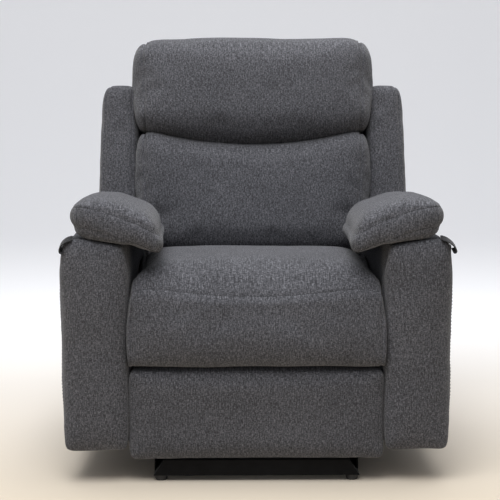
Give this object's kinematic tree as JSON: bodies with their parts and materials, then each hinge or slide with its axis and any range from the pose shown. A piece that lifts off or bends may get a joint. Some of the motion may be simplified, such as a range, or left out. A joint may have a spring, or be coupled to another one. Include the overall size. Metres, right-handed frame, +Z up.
{
  "type": "recliner armchair",
  "caption": "Push-back recliner armchair with a boxed head cushion, wings, pillow-topped arms, side pouches and a folding footrest on a steel linkage.",
  "frame": {"origin": "centre of the chair's box, on the floor", "axes": "+Z up, the front faces -Y, +X to the right seen from the front"},
  "size_m": [0.874, 0.8712, 1.0037],
  "materials": {
    "heather_fabric": "matte",
    "pouch_fabric": "matte",
    "webbing": "matte",
    "black_steel": "satin",
    "link_steel": "satin",
    "bright_steel": "satin",
    "spring_steel": "satin",
    "black_plastic": "matte",
    "white_nylon": "satin",
    "wood": "matte"
  },
  "bodies": {
    "base": {"base_front_bar": "black_steel", "base_rear_bar": "black_steel", "base_rail_left": "black_steel", "base_rail_right": "black_steel", "floor_feet": "black_plastic", "base_plate_left": "black_steel", "base_plate_right": "black_steel", "glide_rail_left": "link_steel", "glide_rail_right": "link_steel", "arm_brackets": "black_steel", "arm_bolts": "bright_steel", "arm_frame_left": "wood", "arm_frame_right": "wood", "arm_cover_left": "heather_fabric", "arm_cover_right": "heather_fabric", "arm_pad_left": "heather_fabric", "arm_pad_right": "heather_fabric", "side_pouch_left": "pouch_fabric", "side_pouch_right": "pouch_fabric"},
    "seat": {"seat_plate_left": "link_steel", "seat_plate_right": "link_steel", "glide_shoes": "white_nylon", "seat_front_rail": "wood", "seat_rear_rail": "wood", "seat_rail_left": "wood", "seat_rail_right": "wood", "seat_springs": "spring_steel", "seat_cushion": "heather_fabric", "seat_pins": "bright_steel"},
    "backrest": {"back_post_left": "wood", "back_post_right": "wood", "back_top_rail": "wood", "back_mid_rail": "wood", "back_low_rail": "wood", "back_bracket_left": "link_steel", "back_bracket_right": "link_steel", "back_webbing": "webbing", "rear_cover": "heather_fabric", "back_cushion": "heather_fabric", "head_cushion": "heather_fabric", "wing_left": "heather_fabric", "wing_right": "heather_fabric"},
    "front_links": {"front_link_left": "link_steel", "front_link_right": "link_steel", "front_link_tube": "link_steel", "front_link_pins": "bright_steel"},
    "rear_links": {"rear_link_left": "link_steel", "rear_link_right": "link_steel", "rear_link_pins": "bright_steel"},
    "cross_links": {"cross_link_left": "link_steel", "cross_link_right": "link_steel", "cross_link_pins": "bright_steel"},
    "lower_links": {"lower_link_left": "link_steel", "lower_link_right": "link_steel", "lower_link_pins": "bright_steel"},
    "footrest": {"footrest_bracket_left": "link_steel", "footrest_bracket_right": "link_steel", "footrest_board": "wood", "footrest_pad": "heather_fabric"}
  },
  "joints": [
    {"name": "seat_glide", "type": "slide", "parent": "base", "child": "seat", "axis": [0, -0.9962, 0.0872], "range_m": [0, 0.08]},
    {"name": "back_recline", "type": "hinge", "parent": "seat", "child": "backrest", "pos_m": [0, 0.22606, 0.335], "axis": [-1, 0, 0], "range_deg": [0, 38]},
    {"name": "footrest_swing", "type": "hinge", "parent": "seat", "child": "front_links", "pos_m": [0, -0.23894, 0.275], "axis": [-1, 0, 0], "range_deg": [0, 90]},
    {"name": "rear_link_swing", "type": "hinge", "parent": "seat", "child": "rear_links", "pos_m": [0, -0.29894, 0.279], "axis": [-1, 0, 0], "range_deg": [0, 90]},
    {"name": "cross_link_fold", "type": "hinge", "parent": "front_links", "child": "cross_links", "pos_m": [0, -0.16746, 0.0786], "axis": [-1, 0, 0], "range_deg": [-90, 0]},
    {"name": "lower_link_swing", "type": "hinge", "parent": "front_links", "child": "lower_links", "pos_m": [0, -0.15746, 0.1356], "axis": [-1, 0, 0], "range_deg": [-90, 0]},
    {"name": "footrest_tilt", "type": "hinge", "parent": "cross_links", "child": "footrest", "pos_m": [0, -0.33694, 0.203], "axis": [-1, 0, 0], "range_deg": [0, 90]}
  ],
  "couplings": [
    {"joint": "back_recline", "follows": "seat_glide", "rad_per_m": 8.2903},
    {"joint": "rear_link_swing", "follows": "footrest_swing", "ratio": 1},
    {"joint": "cross_link_fold", "follows": "footrest_swing", "ratio": -1},
    {"joint": "lower_link_swing", "follows": "footrest_swing", "ratio": -1},
    {"joint": "footrest_tilt", "follows": "footrest_swing", "ratio": 1}
  ]
}
